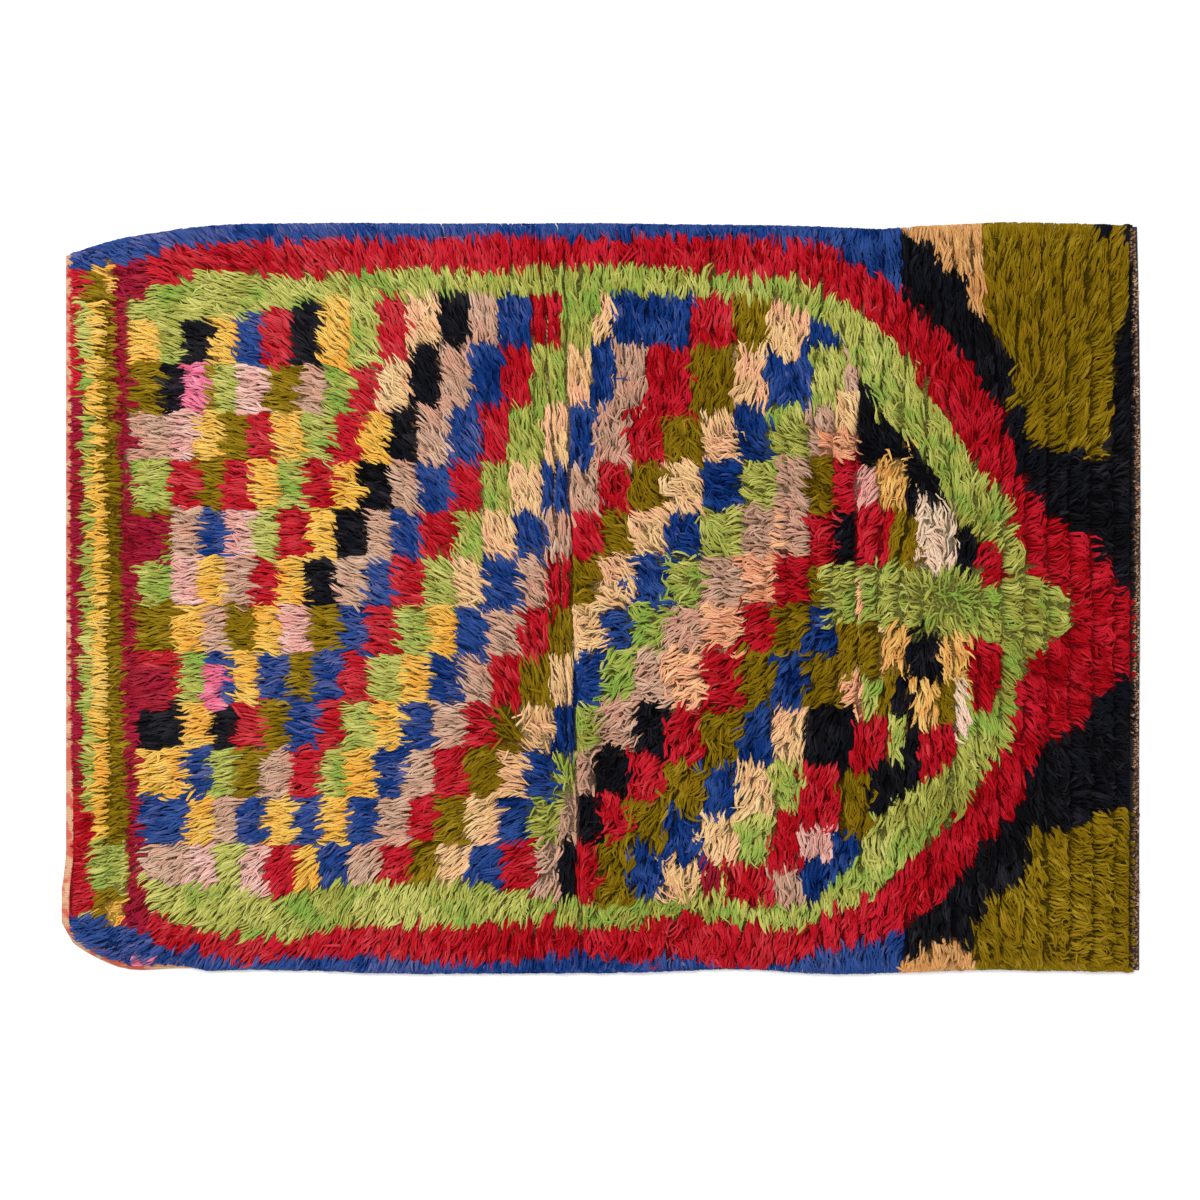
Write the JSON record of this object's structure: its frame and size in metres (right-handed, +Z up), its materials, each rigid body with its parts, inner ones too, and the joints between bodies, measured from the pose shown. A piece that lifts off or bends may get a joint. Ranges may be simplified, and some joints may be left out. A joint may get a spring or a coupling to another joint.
{
  "type": "tulu rug",
  "caption": "Long-piled hand-knotted wool rug lying flat, with a stepped niche and check field, flat-woven end hems and shaggy locks along both sides.",
  "frame": {"origin": "middle of the flat underside, on the floor", "axes": "+X along the warps towards the end that the niche points to, +Z up through the pile"},
  "size_m": [1.725, 1.2064, 0.0378],
  "materials": {
    "wool_pile": "matt hand-spun wool pile in several dyed colours",
    "ground_weave": "undyed wool plain weave, seen at the hems and the back"
  },
  "bodies": {
    "root": {"rug": "wool_pile"}
  },
  "joints": []
}
